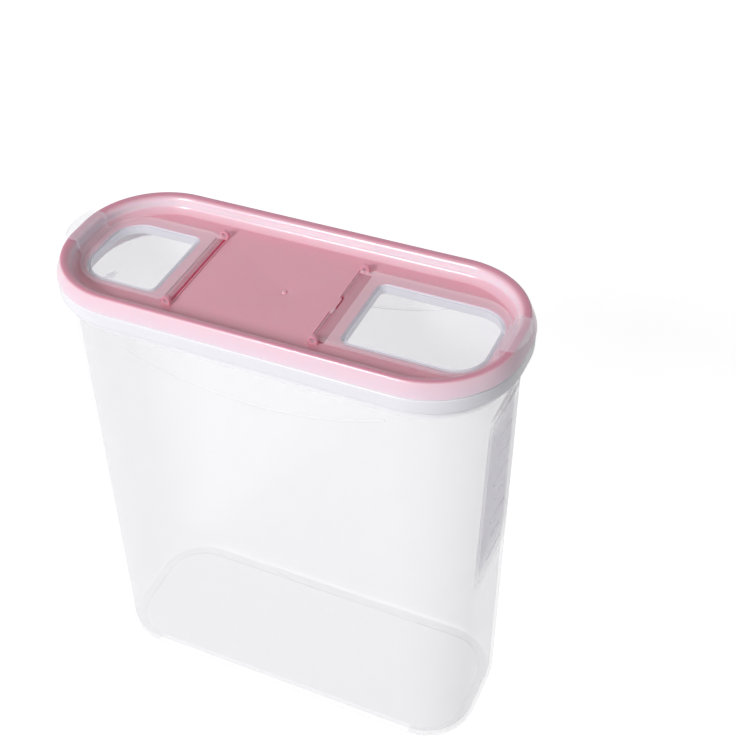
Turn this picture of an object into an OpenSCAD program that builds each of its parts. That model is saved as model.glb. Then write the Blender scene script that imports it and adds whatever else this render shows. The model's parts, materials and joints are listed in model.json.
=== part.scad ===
// Cereal container with flip spout: a tall translucent box with a snap-down lid.
// The lid carries a large and a small flip cap over two pouring openings.
// Millimetres, +Z up, origin at the centre of the base. X runs along the lid.

/* [Lid rim] */
// length of the outline of the rim top
rim_length = 235; // [200:0.5:270]
// width of the outline of the rim top
rim_width = 95.5; // [86:0.5:120]
// plan corner radius of the rim outline
rim_corner = 42.4; // [30:0.1:47]
// height of the rim top above the table
rim_top = 271.5; // [200:0.5:300]
// width of the flat top of the rim
rim_band = 5; // [4:0.1:8]
// how far the outer skirt drops below the rim top
skirt_drop = 8; // [6:0.1:14]
// how far the skirt spreads out at its lower edge
skirt_flare = 3.2; // [0:0.1:5]
// wall thickness of the lid moulding
lid_wall = 1.7; // [1.2:0.1:2.5]

/* [Lid panel] */
// depth of the sunk panel below the rim top
panel_drop = 8.8; // [6:0.1:14]
// thickness of the panel
panel_thick = 2; // [1.4:0.1:3]
// how far the foot of the inner wall lies inside the rim outline
panel_inset = 8.3; // [7:0.1:12]
// radius of the moulding mark on the panel
gate_r = 1.2; // [0.5:0.1:3]
// distance of that mark from the centre, towards the small cap
gate_x = 1.9; // [0:0.1:5]
// radius of the shallow dish round that mark
dish_r = 4.3; // [3:0.1:8]

/* [Plug wall and gasket] */
// gap between the plug wall and the inside of the container
plug_gap = 1.4; // [1.2:0.05:2.4]
// thickness of the plug wall
plug_thick = 1.6; // [1.2:0.1:2.5]
// how far the plug wall reaches below the panel
plug_depth = 10.2; // [6:0.1:16]
// height of each of the two flanges that hold the gasket
groove_lip = 1.2; // [0.8:0.1:2]
// how far those flanges stand out from the plug wall
groove_out = 1; // [0.6:0.1:1.1]
// height from the foot of the lower flange to the foot of the upper one
groove_step = 7; // [5:0.1:9]
// thickness of the gasket band without its lips
gasket_band = 0.6; // [0.4:0.1:1.2]
// how far a gasket lip stands out from its band
gasket_lip = 0.4; // [0.2:0.1:1]

/* [Pouring openings] */
// half of the width of both openings
opening_half = 25; // [20:0.5:30]
// distance from the far end of a cap plate to the far end of its opening
opening_cover = 2.6; // [2:0.1:6]
// distance from a hinge line to the near edge of its opening
opening_set = 9.8; // [7:0.1:16]
// corner radius of an opening beside its hinge
opening_r_near = 5; // [2:0.5:10]
// corner radius of an opening at its far end
opening_r_far = 16; // [10:0.5:24]
// depth of the collar under an opening
collar_depth = 3.4; // [2:0.1:6]
// thickness of the collar under an opening
collar_thick = 1.4; // [1:0.1:2]

/* [Hinges] */
// distance of the large cap's hinge line from the centre
large_hinge_x = 27.6; // [20:0.1:40]
// distance of the small cap's hinge line from the centre
small_hinge_x = 50.3; // [44:0.1:64]
// height of both hinge lines above the panel
hinge_rise = 1.9; // [1.7:0.1:3]
// how far the middle of an ear lies outside the side of its cap
ear_set = 0.6; // [0:0.1:2]
// thickness of an ear along the hinge line
ear_thick = 2.2; // [1.5:0.1:4]
// radius of an ear around its bore
ear_r = 2.4; // [2:0.1:4]
// radius of the stub pins on the caps
pin_r = 1.1; // [0.8:0.05:1.4]
// clearance between a pin and its bore, all round
pin_clear = 0.08; // [0.02:0.01:0.1]
// radius of the barrel along a cap's hinge edge
barrel_r = 1.3; // [1.2:0.1:1.8]
// room between a barrel and the panel side of its trough
barrel_room = 0.2; // [0.1:0.1:0.6]
// gap between a cap and each of its ears, along the hinge line
hinge_play = 0.3; // [0.2:0.1:0.6]
// distance from an ear to the wide part of its cap
shoulder_set = 1.8; // [1:0.1:4]
// length of the break in the middle of the large cap's barrel
barrel_break = 12; // [0:0.5:20]
// depth of the trough that is sunk in the panel under a barrel
trough_depth = 0.9; // [0.4:0.1:1.2]
// how far that trough reaches past the hinge line towards the opening
trough_far = 4.4; // [2.5:0.1:6]
// width of the slots along the panel side of the large hinge
slot_width = 0.9; // [0.5:0.1:1.5]
// width of the fine lip beside a trough
lip_width = 0.6; // [0.4:0.1:1.2]
// height of that lip
lip_rise = 0.6; // [0.2:0.1:1]

/* [Flip caps] */
// thickness of a cap plate
cap_thick = 1.6; // [1.2:0.1:2.4]
// how far a cap covers past each side of its opening
cap_cover = 4.3; // [2.5:0.1:7]
// gap between the far end of a cap plate and the slope of the lid
cap_gap = 0.6; // [0.4:0.1:3]
// corner radius of a cap beside its hinge
cap_r_near = 1.2; // [0.5:0.1:4]
// corner radius of a cap at its far end
cap_r_far = 20; // [12:0.5:26]
// height of the thin bead round the edge of a cap
bead_rise = 0.5; // [0.2:0.1:1]
// width of that bead
bead_wide = 1.1; // [0.6:0.1:2]
// depth of the plug under a cap plate
stopper_depth = 4.8; // [3:0.1:7]
// thickness of the wall of that plug
stopper_wall = 1.3; // [1:0.1:2]
// gap between the plug of a cap and its opening
stopper_gap = 0.6; // [0.4:0.05:1]

/* [Finger tabs] */
// width of both finger tabs
tab_width = 25.5; // [20:0.5:36]
// how far a tab reaches past the rim outline
tab_reach = 3; // [1:0.1:6]
// plan radius of the rounded tip of a tab
tab_round = 26.5; // [16:0.5:60]
// thickness of a tab
tab_thick = 1.5; // [1.2:0.1:2.5]
// gap between a tab and the top of the rim
tab_gap = 0.4; // [0.3:0.1:1]

/* [Container] */
// wall thickness of the container
wall = 1.8; // [1.2:0.1:3]
// how far the container wall at the mouth lies inside the rim outline
mouth_inset = 2.3; // [2:0.1:4]
// length of the container outline at the base
base_length = 227; // [200:0.5:240]
// width of the container outline at the base
base_width = 87.2; // [70:0.1:100]
// plan corner radius at the base
base_corner = 30.2; // [10:0.1:40]
// thickness of the floor
floor_thick = 2.6; // [2:0.1:4]
// depth of the hollow under the floor
foot_depth = 0.8; // [0.2:0.1:1.5]
// width of the foot ring
foot_width = 6; // [3:0.5:12]
// how far the rounding at the foot goes in
heel_in = 2.2; // [1:0.1:4]
// how high that rounding goes up
heel_high = 4.2; // [2:0.1:8]

/* [Container collar] */
// how far the collar stands out past the rim outline
collar_out = 2.8; // [1:0.1:4]
// height of the collar
collar_height = 7.8; // [4:0.1:12]
// gap between the skirt of the lid and the collar
lid_gap = 0.3; // [0.2:0.05:0.6]

/* [Grips, scale and face line] */
// how deep the flat of an end grip lies in the wall
grip_depth = 2.2; // [1:0.1:4]
// distance from the collar down to the top of a grip
grip_drop = 20.4; // [5:0.1:40]
// length of a grip from its top to its foot
grip_long = 139; // [100:1:170]
// length of the slope that runs out at the foot of a grip
grip_slope = 40; // [10:1:60]
// distance from the top of the grip down to the highest long bar of the scale
scale_drop = 23; // [10:0.5:40]
// distance between the long bars of the scale
scale_step = 27; // [20:0.5:40]
// length of a long bar
bar_long = 20; // [10:0.5:26]
// length of a short bar
bar_short = 11; // [5:0.5:18]
// height of a bar
bar_high = 1.4; // [0.8:0.1:3]
// how far a bar stands out
bar_out = 0.5; // [0.2:0.1:1]
// radius of the curved line on each long face
arc_r = 180.5; // [120:0.5:300]
// distance from the collar down to the lowest point of that line
arc_drop = 27.1; // [10:0.1:60]
// half of the width that the line spans
arc_half = 70; // [40:1:74]
// width of the line
arc_wide = 1.4; // [0.6:0.1:3]
// how far the line stands out
arc_out = 0.4; // [0.2:0.1:1]

/* [Hidden] */

$fn = 96;
skirt_z = rim_top - skirt_drop;
panel_z = rim_top - panel_drop;
mouth_z = skirt_z - lid_gap;
collar_z = mouth_z - collar_height;
hinge_z = panel_z + hinge_rise;
cap_z = panel_z + lid_gap;
plug_z = panel_z - panel_thick - plug_depth;
plug_inset = mouth_inset + wall + plug_gap;
panel_seam = max(panel_inset, plug_inset + plug_thick) + 1;
cap_half = opening_half + cap_cover;
cap_end = rim_length / 2 - panel_inset - cap_gap;
opening_end = cap_end - opening_cover;
ear_y = cap_half + ear_set;
grip_top = collar_z - grip_drop;
grip_foot = grip_top - grip_long;
arc_z = collar_z - arc_drop;
sweep_x = rim_length / 2 - rim_corner;
sweep_y = rim_width / 2 - rim_corner;
mouth_a = rim_length / 2 - mouth_inset;
mouth_b = rim_width / 2 - mouth_inset;
mouth_r = rim_corner - mouth_inset;
neck_z = plug_z - 1;
slice = 0.02;
// how deep an added feature starts inside the wall that carries it
root = 0.4;
pink = [0.86, 0.56, 0.64];
clear = [0.93, 0.94, 0.96, 0.55];
milk = [0.95, 0.95, 0.97, 0.5];
seal = [0.92, 0.92, 0.93];

// sweeps a section round the rim outline: section x is the distance outside
// the outline and section y is the height
module rim_sweep() {
  for (q = [[1, 1, 0], [-1, 1, 90], [-1, -1, 180], [1, -1, 270]])
    translate([q[0] * sweep_x, q[1] * sweep_y, 0])
      rotate([0, 0, q[2]])
        rotate_extrude(angle = 90)
          translate([rim_corner, 0])
            children();
  for (e = [0, 180]) {
    rotate([0, 0, e])
      translate([-sweep_x, rim_width / 2, 0])
        rotate([90, 0, 90])
          linear_extrude(height = 2 * sweep_x)
            children();
    rotate([0, 0, e - 90])
      translate([-sweep_y, rim_length / 2, 0])
        rotate([90, 0, 90])
          linear_extrude(height = 2 * sweep_y)
            children();
  }
}

// plan of a cap or an opening: hinge side at x0, rounder far end at x1
module spout_plan(x0, x1, half, r0, r1) {
  for (s = [-1, 1]) {
    translate([x0 + r0, s * (half - r0)])
      circle(r = r0);
    translate([x1 - r1, s * (half - r1)])
      circle(r = r1);
  }
  polygon([
    [x0, -half + r0], [x0 + r0, -half], [x1 - r1, -half], [x1, -half + r1],
    [x1, half - r1], [x1 - r1, half], [x0 + r0, half], [x0, half - r0]
  ]);
}

// plan of the rim outline moved out by d
module rim_plan(d) {
  for (sx = [-1, 1])
    for (sy = [-1, 1])
      translate([sx * sweep_x, sy * sweep_y])
        circle(r = rim_corner + d);
  square([2 * sweep_x, rim_width + 2 * d], center = true);
  square([rim_length + 2 * d, 2 * sweep_y], center = true);
}

// ---- container ----

// a size of the container at height z, between its values at the base and at the neck
function leaning(z, at_base, at_neck) = at_base + z / neck_z * (at_neck - at_base);

// how far the end wall of the container is from the centre at height z
function end_x(z) = leaning(z, base_length / 2, mouth_a);

// four thin discs at the plan corners of the container, at a height from base to neck
module corner_discs(z, inset) {
  a = end_x(z);
  b = leaning(z, base_width / 2, mouth_b);
  r = leaning(z, base_corner, mouth_r);
  for (sx = [-1, 1])
    for (sy = [-1, 1])
      translate([sx * (a - r), sy * (b - r), z])
        cylinder(h = slice, r = r - inset, $fn = 64);
}

// side view of the block that cuts an end grip, moved in by d
module grip_side(d) {
  in = grip_depth + d;
  step = grip_top - grip_depth;
  polygon([
    [end_x(grip_foot) - in, grip_foot],
    [end_x(step) - in, step],
    [end_x(grip_top) + 0.4 - d, grip_top],
    [2 * rim_length, grip_top],
    [2 * rim_length, grip_foot - grip_slope],
    [end_x(grip_foot - grip_slope) + 0.4 - d, grip_foot - grip_slope]
  ]);
}

module grip_blocks(d) {
  for (e = [0, 180])
    rotate([0, 0, e])
      translate([0, rim_width / 2, 0])
        rotate([90, 0, 0])
          linear_extrude(height = rim_width)
            grip_side(d);
}

module container_outside() {
  difference() {
    hull() {
      corner_discs(0, heel_in);
      corner_discs(heel_high / 3, heel_in / 3);
      corner_discs(heel_high, 0);
      corner_discs(neck_z - slice, 0);
    }
    grip_blocks(0);
  }
}

module container_inside() {
  difference() {
    hull() {
      corner_discs(floor_thick, wall + heel_in);
      corner_discs(floor_thick + heel_high / 3, wall + heel_in / 3);
      corner_discs(floor_thick + heel_high, wall);
      corner_discs(neck_z - slice, wall);
    }
    grip_blocks(wall);
  }
}

// neck round the mouth, the flange at its top and the lip turned down from it
module collar_section() {
  round_r = 1;
  edge = 0.5;
  step = 0.1;
  neck_in = -mouth_inset - wall + step;
  neck_out = -mouth_inset + step;
  lip_in = collar_out - wall + 2 * step;
  translate([collar_out - round_r, mouth_z - round_r])
    circle(r = round_r, $fn = 48);
  polygon([
    [neck_in, neck_z - slice], [neck_out, neck_z - slice],
    [neck_out, mouth_z - wall], [lip_in, mouth_z - wall],
    [lip_in, collar_z], [collar_out - edge, collar_z], [collar_out, collar_z + edge],
    [collar_out, mouth_z - round_r], [collar_out - round_r, mouth_z],
    [neck_in, mouth_z]
  ]);
}

// seven bars down the grip, long and short in turn
module scale_bars() {
  for (i = [0:6]) {
    z = grip_top - scale_drop - i * scale_step / 2;
    long = i % 2 == 0 ? bar_long : bar_short;
    translate([end_x(z) - grip_depth - root, -long / 2, z - bar_high / 2])
      cube([root + bar_out, long, bar_high]);
  }
}

// raised curved line on both long faces
module face_lines() {
  face_y = leaning(arc_z, base_width / 2, mouth_b);
  turn = asin(arc_half / arc_r);
  for (e = [0, 180])
    rotate([0, 0, e])
      translate([0, 0, arc_z + arc_r])
        rotate([90, 0, 0])
          rotate([0, 0, -90 - turn])
            rotate_extrude(angle = 2 * turn, $fn = 200)
              translate([arc_r - arc_wide / 2, face_y - wall / 2])
                square([arc_wide, wall / 2 + arc_out]);
}

module container() {
  color(milk)
    union() {
      difference() {
        container_outside();
        container_inside();
        translate([0, 0, -1])
          linear_extrude(height = 1 + foot_depth)
            spout_plan(
              heel_in + foot_width - base_length / 2, base_length / 2 - heel_in - foot_width,
              base_width / 2 - heel_in - foot_width,
              base_corner - heel_in - foot_width, base_corner - heel_in - foot_width
            );
      }
      rim_sweep()
        collar_section();
      scale_bars();
      face_lines();
    }
}

// ---- lid ----

// rim, inner wall and plug wall of the lid, seen end on
module lid_section() {
  r_out = 1.2;
  r_in = 1;
  edge = 0.4;
  slope_z = panel_z + panel_inset - rim_band;
  under = slope_z + rim_band - lid_wall * sqrt(2);
  inner = -rim_band + lid_wall;
  translate([-r_out, rim_top - r_out])
    circle(r = r_out, $fn = 48);
  translate([-rim_band + r_in, rim_top - r_in])
    circle(r = r_in, $fn = 48);
  // top band
  polygon([
    [-rim_band + r_in, rim_top - lid_wall], [-rim_band, rim_top - lid_wall],
    [-rim_band, rim_top - r_in], [-rim_band + r_in, rim_top],
    [-r_out, rim_top], [0, rim_top - r_out],
    [0, rim_top - lid_wall], [-r_out, rim_top - lid_wall]
  ]);
  // outer skirt
  polygon([
    [-lid_wall, rim_top - lid_wall], [0, rim_top - r_out],
    [skirt_flare, skirt_z + edge], [skirt_flare - edge, skirt_z],
    [skirt_flare - lid_wall, skirt_z]
  ]);
  // inner wall, slope and plug wall
  polygon([
    [-rim_band, rim_top - lid_wall], [-rim_band, slope_z],
    [-panel_inset, panel_z], [-panel_seam, panel_z],
    [-panel_seam, panel_z - panel_thick],
    [-plug_inset - plug_thick, panel_z - panel_thick],
    [-plug_inset - plug_thick, plug_z],
    [-plug_inset, plug_z],
    [-plug_inset, under - plug_inset],
    [inner, under + inner], [inner, rim_top - lid_wall]
  ]);
  // two flanges that hold the gasket
  for (z = [plug_z, plug_z + groove_step])
    translate([-plug_inset - plug_thick / 2, z])
      square([plug_thick / 2 + groove_out, groove_lip]);
}

module opening_plan(hinge_x, grow) {
  spout_plan(
    hinge_x + opening_set - grow, opening_end + grow,
    opening_half + grow, opening_r_near + grow, opening_r_far + grow
  );
}

// two ears with bores at the ends of a hinge line
module ears(hinge_x) {
  for (s = [-1, 1])
    difference() {
      union() {
        translate([hinge_x, s * ear_y + ear_thick / 2, hinge_z])
          rotate([90, 0, 0])
            cylinder(h = ear_thick, r = ear_r, $fn = 48);
        translate([hinge_x - ear_r, s * ear_y - ear_thick / 2, panel_z - root])
          cube([2 * ear_r, ear_thick, hinge_rise + root]);
      }
      translate([hinge_x, s * ear_y + ear_thick, hinge_z])
        rotate([90, 0, 0])
          cylinder(h = 2 * ear_thick, r = pin_r + pin_clear, $fn = 48);
    }
}

// cuts for one opening, its hinge trough and the slots beside a split barrel
module spout_cuts(hinge_x, split) {
  trough_y = ear_y - ear_thick / 2;
  near = barrel_r + barrel_room;
  slot_z = panel_z - 0.6 * panel_thick;
  slot_lap = 0.1;
  translate([0, 0, panel_z - 2 * panel_thick])
    linear_extrude(height = 3 * panel_thick)
      opening_plan(hinge_x, 0);
  translate([hinge_x - near, -trough_y, panel_z - trough_depth])
    cube([near + trough_far, 2 * trough_y, trough_depth + 1]);
  if (split > 0)
    for (s = [-1, 1])
      translate([hinge_x - near - slot_width, s > 0 ? split / 2 : -trough_y, slot_z])
        cube([slot_width + slot_lap, trough_y - split / 2, panel_thick]);
}

// collar under an opening, ears, and the fine lip beside the trough
module spout_adds(hinge_x, split) {
  lip_x = hinge_x - barrel_r - barrel_room - lip_width - (split > 0 ? slot_width : 0);
  translate([0, 0, panel_z - panel_thick - collar_depth])
    linear_extrude(height = collar_depth + root)
      difference() {
        opening_plan(hinge_x, collar_thick);
        opening_plan(hinge_x, 0);
      }
  ears(hinge_x);
  for (s = [-1, 1])
    translate([lip_x, s > 0 ? split / 2 : -ear_y, panel_z - root])
      cube([lip_width, ear_y - split / 2, root + lip_rise]);
}

module lid() {
  color(pink)
    union() {
      difference() {
        translate([0, 0, panel_z - panel_thick])
          linear_extrude(height = panel_thick)
            rim_plan(root - panel_seam);
        spout_cuts(large_hinge_x, barrel_break);
        rotate([0, 0, 180])
          spout_cuts(small_hinge_x, 0);
        // shallow dish round the moulding mark
        translate([-gate_x, 0, panel_z - gate_r / 4])
          cylinder(h = gate_r / 2, r1 = dish_r / 2, r2 = 1.5 * dish_r, $fn = 48);
      }
      rim_sweep()
        lid_section();
      spout_adds(large_hinge_x, barrel_break);
      rotate([0, 0, 180])
        spout_adds(small_hinge_x, 0);
      translate([-gate_x, 0, panel_z - gate_r / 2])
        cylinder(h = gate_r, r1 = gate_r, r2 = gate_r / 2, $fn = 48);
    }
}

// silicone ring in the groove of the plug wall
module lid_gasket() {
  gap = 0.3;
  foot = plug_z + groove_lip + gap;
  tall = groove_step - groove_lip - 2 * gap;
  side = gap / 2 - plug_inset;
  color(seal)
    rim_sweep() {
      union() {
        translate([side, foot])
          square([gasket_band, tall]);
        for (z = [foot + tall / 5, foot + 3 * tall / 5])
          translate([side + gasket_band - 0.1, z])
            square([gasket_lip + 0.1, tall / 5]);
      }
    }
}

// ---- flip caps ----

// end view of a finger tab, from the plate up and over the rim
module tab_side() {
  out = rim_length / 2 + tab_reach;
  low = rim_top + tab_gap;
  top = low + tab_thick;
  edge = 0.5;
  x1 = cap_end - edge;
  x2 = rim_length / 2 - rim_band - tab_thick;
  z2 = panel_z + panel_inset - rim_band;
  polygon([
    [x1 - 2 * tab_thick, cap_z], [x1, cap_z], [x2, z2], [x2, low],
    [out - edge, low], [out, low + edge], [out, top - edge], [out - edge, top],
    [x2 - edge, top], [x2 - tab_thick, top - 2 * edge],
    [x2 - tab_thick, z2 + 2 * edge], [x1 - tab_thick, cap_z + cap_thick],
    [x1 - 2 * tab_thick, cap_z + cap_thick]
  ]);
}

// plan of a cap past its ears, moved in by d
module cap_plan(plate_x, d) {
  spout_plan(plate_x, cap_end - d, cap_half - d, cap_r_near, cap_r_far - d);
}

// one cap with its hinge line at hinge_x and its far end towards +X
module flip_cap(hinge_x, split) {
  inner_y = ear_y - ear_thick / 2 - hinge_play;
  plate_x = hinge_x + ear_r + shoulder_set;
  union() {
    // plate, narrow between the ears and full width past them
    translate([0, 0, cap_z])
      linear_extrude(height = cap_thick)
        union() {
          cap_plan(plate_x, 0);
          translate([hinge_x + root, -inner_y])
            square([plate_x - hinge_x + cap_r_near, 2 * inner_y]);
        }
    // bead round the edge
    translate([0, 0, cap_z + cap_thick - root])
      linear_extrude(height = bead_rise + root)
        difference() {
          cap_plan(plate_x, 0);
          cap_plan(plate_x - cap_half, bead_wide);
        }
    // plug wall that drops into the opening
    translate([0, 0, cap_z - stopper_depth])
      linear_extrude(height = stopper_depth + root)
        difference() {
          opening_plan(hinge_x, -stopper_gap);
          opening_plan(hinge_x, -stopper_gap - stopper_wall);
        }
    // barrel and the stub pins at its ends
    difference() {
      translate([hinge_x, inner_y, hinge_z])
        rotate([90, 0, 0])
          cylinder(h = 2 * inner_y, r = barrel_r, $fn = 48);
      if (split > 0)
        translate([hinge_x - 2 * barrel_r, -split / 2, hinge_z - 2 * barrel_r])
          cube([2 * barrel_r + root, split, 4 * barrel_r]);
    }
    for (s = [-1, 1])
      translate([hinge_x, s > 0 ? ear_y + ear_thick / 2 : -inner_y + root, hinge_z])
        rotate([90, 0, 0])
          cylinder(h = ear_thick + hinge_play + root, r = pin_r, $fn = 48);
    // finger tab
    intersection() {
      translate([0, tab_width / 2, 0])
        rotate([90, 0, 0])
          linear_extrude(height = tab_width)
            tab_side();
      translate([rim_length / 2 + tab_reach - tab_round, 0, cap_z - 1])
        cylinder(h = 2 * panel_drop, r = tab_round);
    }
  }
}

module large_cap() {
  color(clear)
    flip_cap(large_hinge_x, barrel_break);
}

module small_cap() {
  color(clear)
    rotate([0, 0, 180])
      flip_cap(small_hinge_x, 0);
}

container();
lid();
lid_gasket();
large_cap();
small_cap();
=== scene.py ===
# %% [markdown]
# # A cereal container with two flip caps
#
# The real thing is five plastic mouldings: a tall frosted container, a glossy
# pink lid, a silicone seal round the lid's plug, and two clear flip caps. The
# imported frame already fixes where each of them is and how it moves. This
# script models the same five pieces with true fillets and fine walls, dresses
# them, and lights them like a catalogue picture.

# %% Load the frame
import json
import math

import bmesh
import bpy
from mathutils import Matrix, Vector


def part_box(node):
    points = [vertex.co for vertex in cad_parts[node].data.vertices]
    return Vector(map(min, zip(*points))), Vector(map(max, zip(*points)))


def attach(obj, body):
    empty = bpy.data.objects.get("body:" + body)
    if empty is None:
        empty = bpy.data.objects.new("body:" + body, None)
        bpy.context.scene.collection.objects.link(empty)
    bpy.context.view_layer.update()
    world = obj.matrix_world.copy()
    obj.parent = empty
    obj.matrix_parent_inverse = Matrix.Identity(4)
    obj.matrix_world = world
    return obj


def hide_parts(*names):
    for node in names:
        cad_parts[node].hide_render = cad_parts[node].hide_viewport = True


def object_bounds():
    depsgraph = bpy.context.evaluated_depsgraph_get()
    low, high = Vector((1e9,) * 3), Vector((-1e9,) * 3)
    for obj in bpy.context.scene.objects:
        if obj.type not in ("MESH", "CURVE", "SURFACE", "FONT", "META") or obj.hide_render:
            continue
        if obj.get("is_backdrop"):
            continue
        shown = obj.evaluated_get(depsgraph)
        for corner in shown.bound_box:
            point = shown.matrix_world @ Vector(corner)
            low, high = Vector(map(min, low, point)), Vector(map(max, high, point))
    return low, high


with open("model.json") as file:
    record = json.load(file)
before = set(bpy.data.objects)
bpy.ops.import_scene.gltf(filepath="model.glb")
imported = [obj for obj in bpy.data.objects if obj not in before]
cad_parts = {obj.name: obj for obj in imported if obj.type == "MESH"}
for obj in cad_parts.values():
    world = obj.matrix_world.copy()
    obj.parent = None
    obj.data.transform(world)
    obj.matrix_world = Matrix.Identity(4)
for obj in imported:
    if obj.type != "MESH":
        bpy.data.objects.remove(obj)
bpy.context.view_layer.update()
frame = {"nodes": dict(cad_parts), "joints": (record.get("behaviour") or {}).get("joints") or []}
MM = 0.001
print("pieces in the frame:", sorted(frame["nodes"]))

# %% [markdown]
# ## Sizes
#
# Everything hangs on a few heights and outlines. The main ones are read off
# the frame: the size and top of the rim, the mouth of the container, the foot
# of the plug and the two hinge lines. The base, the corner radii, the walls and
# the small steps are typed, in millimetres, with the values of the solids.

# %% Sizes read off the frame
lid_low, lid_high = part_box("lid")
hinges = {j["name"]: Vector(j["pos_m"]) for j in frame["joints"] if "pos_m" in j}
large_hinge = hinges["large_cap_hinge"]
small_hinge = hinges["small_cap_hinge"]
rim_top = lid_high.z
plug_foot = lid_low.z
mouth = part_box("container")[1].z
print("rim top", rim_top, "mouth", mouth, "plug foot", plug_foot)

# %% Typed sizes
skirt_flare = 3.2 * MM
rim_half_x = lid_high.x - skirt_flare
rim_half_y = lid_high.y - skirt_flare
rim_corner = 42.4 * MM
rim_band = 5 * MM
lid_wall = 1.7 * MM
panel = rim_top - 8.8 * MM
panel_under = panel - 2 * MM
panel_inset = 8.3 * MM
skirt_foot = mouth + 0.3 * MM
wall = 1.8 * MM
mouth_inset = 2.3 * MM
neck = plug_foot - 1 * MM
collar_foot = mouth - 7.8 * MM
print("panel height in mm:", round(panel / MM, 2))

# %% [markdown]
# ## Outlines and skins
#
# Every big shape here is a section that follows a rounded outline. A rounded
# outline is a polygon whose corners are bevelled: the vertex bevel with a
# profile of 0.5 gives a true arc. Each point of a section asks for the outline
# at its own height and distance. The first outline becomes a ring of edges,
# and each extrusion of that ring is moved onto the next outline. The same two
# steps then make the container, the lid, the seal and the caps.

# %% Helper: corners bevelled to arcs
ARC_STEPS = 22
FILLET_STEPS = 4


def rounded(corners, steps):
    """Points of the polygon (x, y, radius), with each corner bevelled to an arc."""
    bm = bmesh.new()
    verts = [bm.verts.new((x, y, 0)) for x, y, _ in corners]
    bm.faces.new(verts)
    cuts = {}
    for i, (x, y, radius) in enumerate(corners):
        if radius > 0:
            here = Vector((x, y))
            back = Vector(corners[i - 1][:2]) - here
            on = Vector(corners[(i + 1) % len(corners)][:2]) - here
            cut = radius / math.tan(back.angle(on) / 2)
            cuts.setdefault(round(cut, 9), []).append(verts[i])
    for cut, group in cuts.items():
        bmesh.ops.bevel(
            bm, geom=group, affect="VERTICES", offset_type="OFFSET", offset=cut,
            segments=steps, profile=0.5, material=-1, clamp_overlap=False,
        )
    bm.faces.ensure_lookup_table()
    points = [v.co.to_2d() for v in bm.faces[0].verts]
    bm.free()
    return points


def section(corners):
    """An open section, from its first corner to its last, as a list of points."""
    points = rounded(corners, FILLET_STEPS)
    first = Vector(corners[0][:2])
    start = min(range(len(points)), key=lambda i: (points[i] - first).length)
    return points[start:] + points[:start]


square = rounded([(0, 0, 0.2), (1, 0, 0.2), (1, 1, 0.2), (0, 1, 0.2)], 4)
print("a unit square with bevelled corners has", len(square), "points")


# %% Helper: rings and skins
def ring(bm, points):
    """A closed loop of edges through the points."""
    verts = [bm.verts.new(p) for p in points]
    return [bm.edges.new((verts[i - 1], verts[i])) for i in range(len(verts))]


def skin(bm, outlines, closed=False):
    """Extrude a ring from outline to outline; returns its first and its last edges."""
    first = edges = ring(bm, outlines[0])
    points = outlines[0]
    for outline in outlines[1:] + outlines[:1] * closed:
        index = {p.to_tuple(7): i for i, p in enumerate(points)}
        made = bmesh.ops.extrude_edge_only(bm, edges=edges)["geom"]
        moved = [g for g in made if isinstance(g, bmesh.types.BMVert)]
        edges = [g for g in made if isinstance(g, bmesh.types.BMEdge)
                 and g.verts[0] in moved and g.verts[1] in moved]
        for vert in moved:
            vert.co = outline[index[vert.co.to_tuple(7)]]
        points = outline
    return first, edges


def at_height(points, z):
    return [Vector((p.x, p.y, z)) for p in points]


def box_corners(x0, x1, half, r0, r1):
    """A rectangle from x0 to x1, with corner radius r0 at x0 and r1 at x1."""
    return [(x0, -half, r0), (x1, -half, r1), (x1, half, r1), (x0, half, r0)]


def lid_outline(out, z):
    """The rim outline, moved out by a distance."""
    half = rim_half_x + out
    corners = box_corners(-half, half, rim_half_y + out, rim_corner + out, rim_corner + out)
    return at_height(rounded(corners, ARC_STEPS), z)


# %% Helper: pieces
def make_piece(name, bm, merge=1e-7):
    """Close the seams of a bmesh, turn its faces outwards and link it as an object."""
    bmesh.ops.remove_doubles(bm, verts=bm.verts[:], dist=merge)
    bmesh.ops.recalc_face_normals(bm, faces=bm.faces[:])
    mesh = bpy.data.meshes.new(name)
    bm.to_mesh(mesh)
    bm.free()
    piece = bpy.data.objects.new(name, mesh)
    bpy.context.scene.collection.objects.link(piece)
    return piece


def combine(piece, tool, how="UNION"):
    """Join a tool into a piece, or cut the piece to it, and keep the result as its mesh."""
    modifier = piece.modifiers.new("combine", "BOOLEAN")
    modifier.operation = how
    modifier.solver = "EXACT"
    modifier.object = tool
    bpy.context.view_layer.update()
    shown = piece.evaluated_get(bpy.context.evaluated_depsgraph_get())
    mesh = bpy.data.meshes.new_from_object(shown)
    piece.modifiers.clear()
    piece.data = mesh
    bpy.data.objects.remove(tool)


def finish_mesh(piece, sharp=32):
    """Smooth shading, except over edges sharper than the angle in degrees."""
    bm = bmesh.new()
    bm.from_mesh(piece.data)
    bmesh.ops.remove_doubles(bm, verts=bm.verts[:], dist=2e-6)
    bmesh.ops.dissolve_degenerate(bm, edges=bm.edges[:], dist=2e-6)
    open_edges = sum(1 for e in bm.edges if len(e.link_faces) != 2)
    for face in bm.faces:
        face.smooth = True
    bm.to_mesh(piece.data)
    faces = len(bm.faces)
    bm.free()
    piece.data.set_sharp_from_angle(angle=math.radians(sharp))
    print(piece.name, "has", faces, "faces and", open_edges, "open edges")


print("helpers ready")

# %% [markdown]
# ## The container
#
# The real container is one injection moulding, 1.8 mm thick, a little
# narrower at the base than at the mouth. Two sections do it. The outside runs
# from the hollow under the floor, round the foot, up the wall and out over the
# collar with its turned-down lip to the mouth. The inside runs from the mouth
# down to the floor. The plan corners grow from base to neck, so each ring asks
# for the outline at its own height.

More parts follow.
